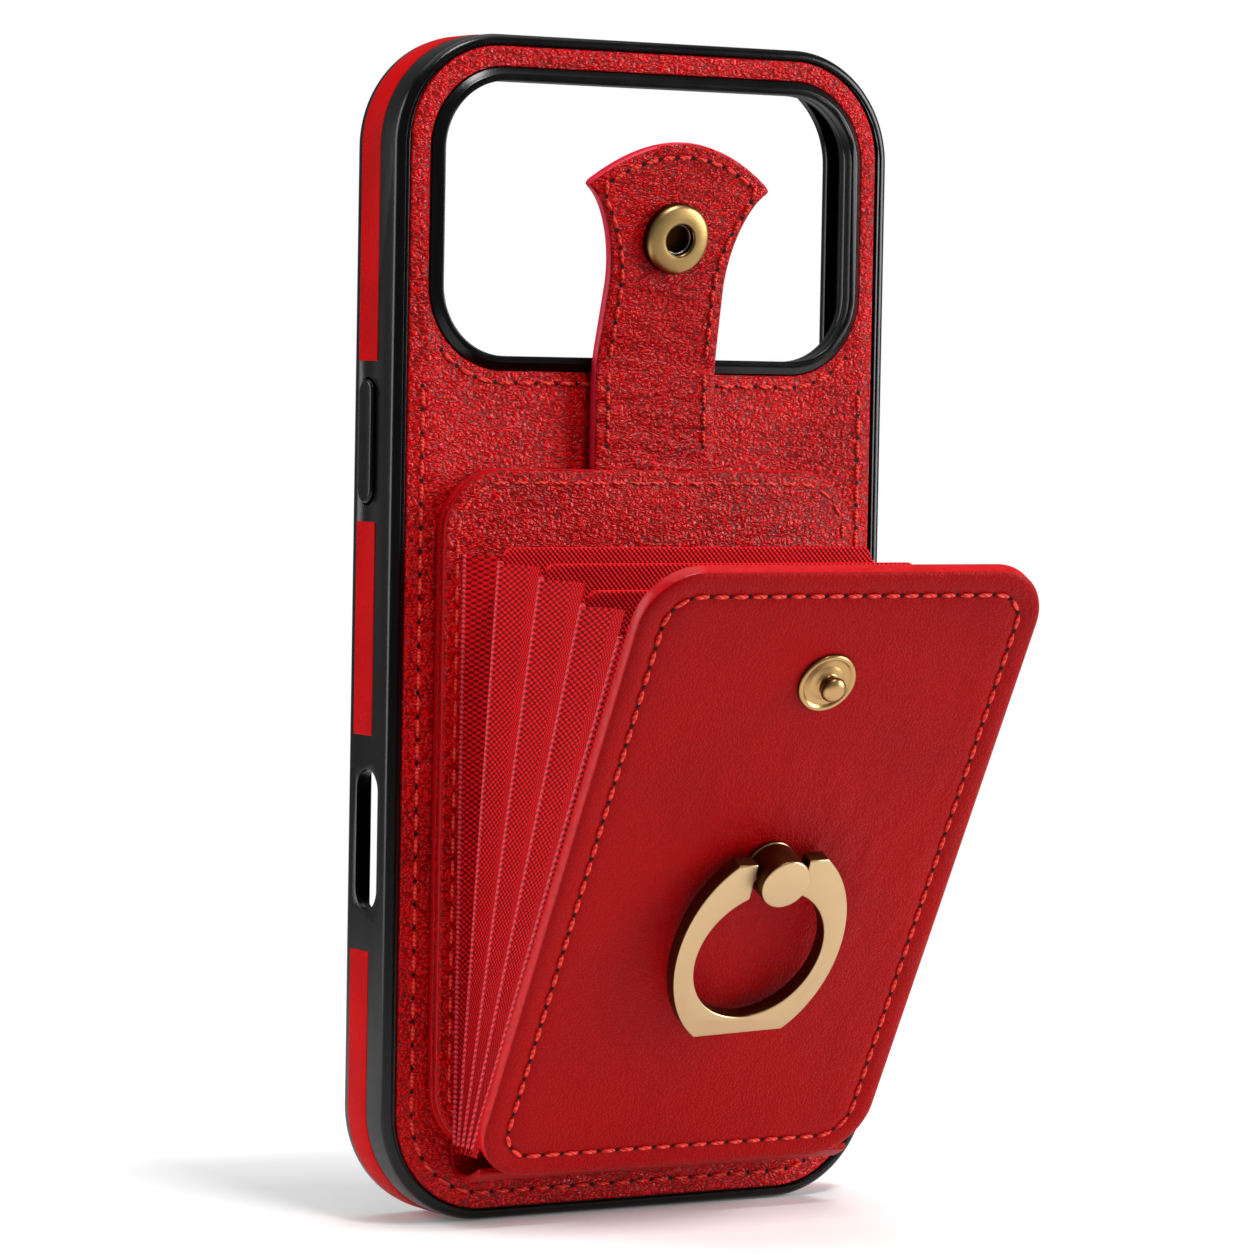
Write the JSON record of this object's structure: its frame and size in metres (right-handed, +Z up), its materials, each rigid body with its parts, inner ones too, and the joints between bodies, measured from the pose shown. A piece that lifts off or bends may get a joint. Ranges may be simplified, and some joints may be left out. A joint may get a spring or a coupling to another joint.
{
  "type": "phone wallet case",
  "caption": "Hard-frame phone case with a leather back, an accordion card wallet on it, a snap strap and a folding finger ring on a turning hub.",
  "frame": {"origin": "on the case's bottom edge, in the middle of its width, in the plane that the phone's back rests on", "axes": "+Z up the case, +Y out of the phone's side, -Y out of the leather back and wallet, +X to the right as seen from the wallet side"},
  "size_m": [0.0822, 0.0683, 0.1668],
  "materials": {
    "black_plastic": "semi-gloss moulded",
    "red_leather": "grained, semi-matt",
    "red_fabric": "ribbed weave",
    "red_thread": "twisted polyester",
    "grey_board": "pressed fibre board",
    "antique_brass": "brushed, aged",
    "spring_steel": "drawn wire"
  },
  "bodies": {
    "root": {"frame_shell": "black_plastic", "back_leather": "red_leather", "back_thread": "red_thread", "inlay_left_top": "red_leather", "inlay_left_middle": "red_leather", "inlay_left_bottom": "red_leather", "inlay_right_top": "red_leather", "inlay_right_middle": "red_leather", "inlay_right_bottom": "red_leather", "wallet_back_panel": "red_leather", "panel_thread": "red_thread", "hinge_spine": "red_leather", "strap_tab": "red_leather"},
    "divider_1": {"divider_1": "red_fabric", "gusset_left_1": "red_fabric", "gusset_right_1": "red_fabric"},
    "divider_2": {"divider_2": "red_fabric", "gusset_left_2": "red_fabric", "gusset_right_2": "red_fabric"},
    "divider_3": {"divider_3": "red_fabric", "gusset_left_3": "red_fabric", "gusset_right_3": "red_fabric"},
    "divider_4": {"divider_4": "red_fabric", "gusset_left_4": "red_fabric", "gusset_right_4": "red_fabric"},
    "cover": {"cover_leather": "red_leather", "cover_board": "grey_board", "cover_lining": "red_leather", "cover_thread": "red_thread", "snap_stud": "antique_brass", "stud_washer": "antique_brass", "hub_washer": "antique_brass", "hub_rivet": "antique_brass", "gusset_left_5": "red_fabric", "gusset_right_5": "red_fabric"},
    "ring_hub": {"ring_hub": "antique_brass"},
    "finger_ring": {"finger_ring": "antique_brass", "ring_pin": "antique_brass"},
    "strap_bridge": {"strap_bridge_face": "red_leather", "strap_bridge_lining": "red_leather", "strap_fold_root": "red_leather", "strap_fold_upper": "red_leather"},
    "strap_end": {"strap_end_face": "red_leather", "strap_end_lining": "red_leather", "strap_thread": "red_thread", "snap_socket": "antique_brass", "snap_spring": "spring_steel", "snap_cap": "antique_brass"},
    "side_key": {"side_key": "black_plastic"},
    "action_key": {"action_key": "black_plastic"},
    "volume_up_key": {"volume_up_key": "black_plastic"},
    "volume_down_key": {"volume_down_key": "black_plastic"}
  },
  "joints": [
    {"name": "wallet_opening", "type": "hinge", "parent": "root", "child": "cover", "pos_m": [0, -0.01202, 0.00938], "axis": [-1, 0, 0], "range_deg": [0, 28.15], "deforming": ["gusset_left_1", "gusset_right_1", "gusset_left_2", "gusset_right_2", "gusset_left_3", "gusset_right_3", "gusset_left_4", "gusset_right_4", "gusset_left_5", "gusset_right_5"]},
    {"name": "divider_1_fan", "type": "hinge", "parent": "root", "child": "divider_1", "pos_m": [0, -0.00628, 0.0105], "axis": [-1, 0, 0], "range_deg": [0, 6.25]},
    {"name": "divider_2_fan", "type": "hinge", "parent": "root", "child": "divider_2", "pos_m": [0, -0.00746, 0.0105], "axis": [-1, 0, 0], "range_deg": [0, 13.35]},
    {"name": "divider_3_fan", "type": "hinge", "parent": "root", "child": "divider_3", "pos_m": [0, -0.00865, 0.0105], "axis": [-1, 0, 0], "range_deg": [0, 20.55]},
    {"name": "divider_4_fan", "type": "hinge", "parent": "root", "child": "divider_4", "pos_m": [0, -0.00983, 0.0105], "axis": [-1, 0, 0], "range_deg": [0, 27.15]},
    {"name": "strap_root_bend", "type": "hinge", "parent": "root", "child": "strap_bridge", "pos_m": [0, -0.00425, 0.1075], "axis": [1, 0, 0], "range_deg": [0, 90], "deforming": ["strap_fold_root"]},
    {"name": "strap_end_bend", "type": "hinge", "parent": "strap_bridge", "child": "strap_end", "pos_m": [0, -0.00425, 0.12085], "axis": [1, 0, 0], "range_deg": [0, 77], "deforming": ["strap_fold_upper"]},
    {"name": "ring_swivel", "type": "hinge", "parent": "cover", "child": "ring_hub", "pos_m": [0, -0.03694, 0.05298], "axis": [0, -0.8817, -0.4718], "continuous": true},
    {"name": "ring_fold", "type": "hinge", "parent": "ring_hub", "child": "finger_ring", "pos_m": [0, -0.03949, 0.05161], "axis": [-0.999, 0.0206, -0.0385], "range_deg": [0, 120]},
    {"name": "side_key_press", "type": "slide", "parent": "root", "child": "side_key", "axis": [1, 0, 0], "range_m": [0, 0.0004], "stiffness_N_per_m": 1000},
    {"name": "action_key_press", "type": "slide", "parent": "root", "child": "action_key", "axis": [-1, 0, 0], "range_m": [0, 0.0004], "stiffness_N_per_m": 1000},
    {"name": "volume_up_key_press", "type": "slide", "parent": "root", "child": "volume_up_key", "axis": [-1, 0, 0], "range_m": [0, 0.0004], "stiffness_N_per_m": 1000},
    {"name": "volume_down_key_press", "type": "slide", "parent": "root", "child": "volume_down_key", "axis": [-1, 0, 0], "range_m": [0, 0.0004], "stiffness_N_per_m": 1000}
  ],
  "couplings": [
    {"joint": "divider_1_fan", "follows": "wallet_opening", "ratio": 0.22025},
    {"joint": "divider_2_fan", "follows": "wallet_opening", "ratio": 0.47247},
    {"joint": "divider_3_fan", "follows": "wallet_opening", "ratio": 0.72824},
    {"joint": "divider_4_fan", "follows": "wallet_opening", "ratio": 0.9627}
  ]
}
